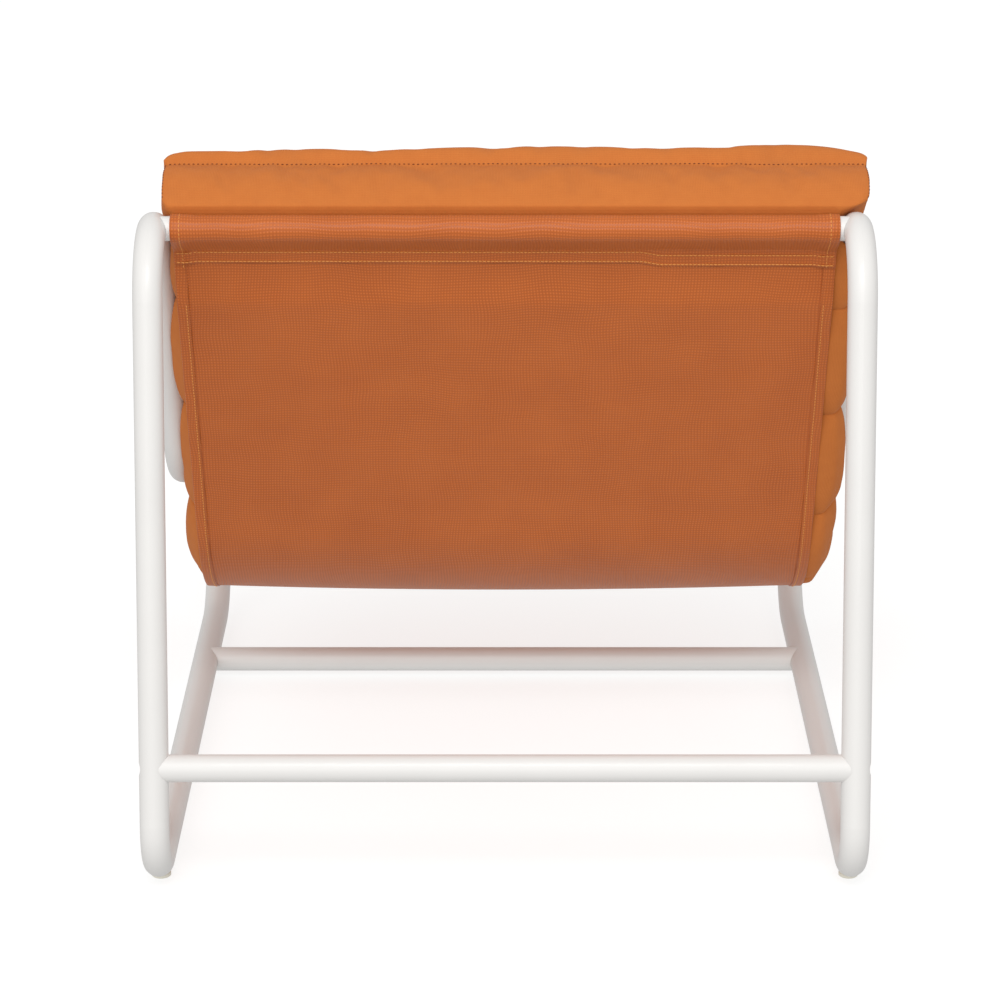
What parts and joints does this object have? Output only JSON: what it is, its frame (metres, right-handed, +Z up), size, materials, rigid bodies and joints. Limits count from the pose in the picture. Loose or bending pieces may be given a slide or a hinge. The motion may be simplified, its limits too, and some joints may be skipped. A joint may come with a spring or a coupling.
{
  "type": "garden armchair",
  "caption": "Low garden armchair: bent steel tube side frames, bolted crossbars, a mesh sling and a loose cushion sewn in channels.",
  "frame": {"origin": "on the floor, under the middle of the frame's width and depth", "axes": "+Z up; the sitter faces -Y, so +Y points out of the back; +X is on the sitter's left"},
  "size_m": [0.74, 0.88, 0.7169],
  "materials": {
    "frame_coat": "satin",
    "black_bolt_steel": "satin",
    "zinc_steel": "satin",
    "foot_plastic": "matte",
    "sling_mesh": "matte",
    "cushion_cover": "matte"
  },
  "bodies": {
    "frame": {"side_frame_left": "frame_coat", "side_frame_right": "frame_coat", "top_crossbar": "frame_coat", "front_crossbar": "frame_coat", "rear_stretcher": "frame_coat", "front_stretcher": "frame_coat", "frame_bolts": "black_bolt_steel", "bolt_sleeves": "zinc_steel", "crossbar_plugs": "zinc_steel", "foot_nuts": "zinc_steel", "sling": "sling_mesh"},
    "cushion": {"seat_cushion": "cushion_cover"},
    "foot_rear_left": {"foot_base_rear_left": "foot_plastic", "foot_stem_rear_left": "zinc_steel"},
    "foot_rear_right": {"foot_base_rear_right": "foot_plastic", "foot_stem_rear_right": "zinc_steel"},
    "foot_front_left": {"foot_base_front_left": "foot_plastic", "foot_stem_front_left": "zinc_steel"},
    "foot_front_right": {"foot_base_front_right": "foot_plastic", "foot_stem_front_right": "zinc_steel"}
  },
  "joints": [
    {"name": "cushion_lift", "type": "slide", "parent": "frame", "child": "cushion", "axis": [0, 0, 1], "range_m": [0, 0.6]},
    {"name": "foot_rear_left_screw", "type": "slide", "parent": "frame", "child": "foot_rear_left", "axis": [0, 0, -1], "range_m": [-0.001, 0.005]},
    {"name": "foot_rear_right_screw", "type": "slide", "parent": "frame", "child": "foot_rear_right", "axis": [0, 0, -1], "range_m": [-0.001, 0.005]},
    {"name": "foot_front_left_screw", "type": "slide", "parent": "frame", "child": "foot_front_left", "axis": [0, 0, -1], "range_m": [-0.001, 0.005]},
    {"name": "foot_front_right_screw", "type": "slide", "parent": "frame", "child": "foot_front_right", "axis": [0, 0, -1], "range_m": [-0.001, 0.005]}
  ]
}
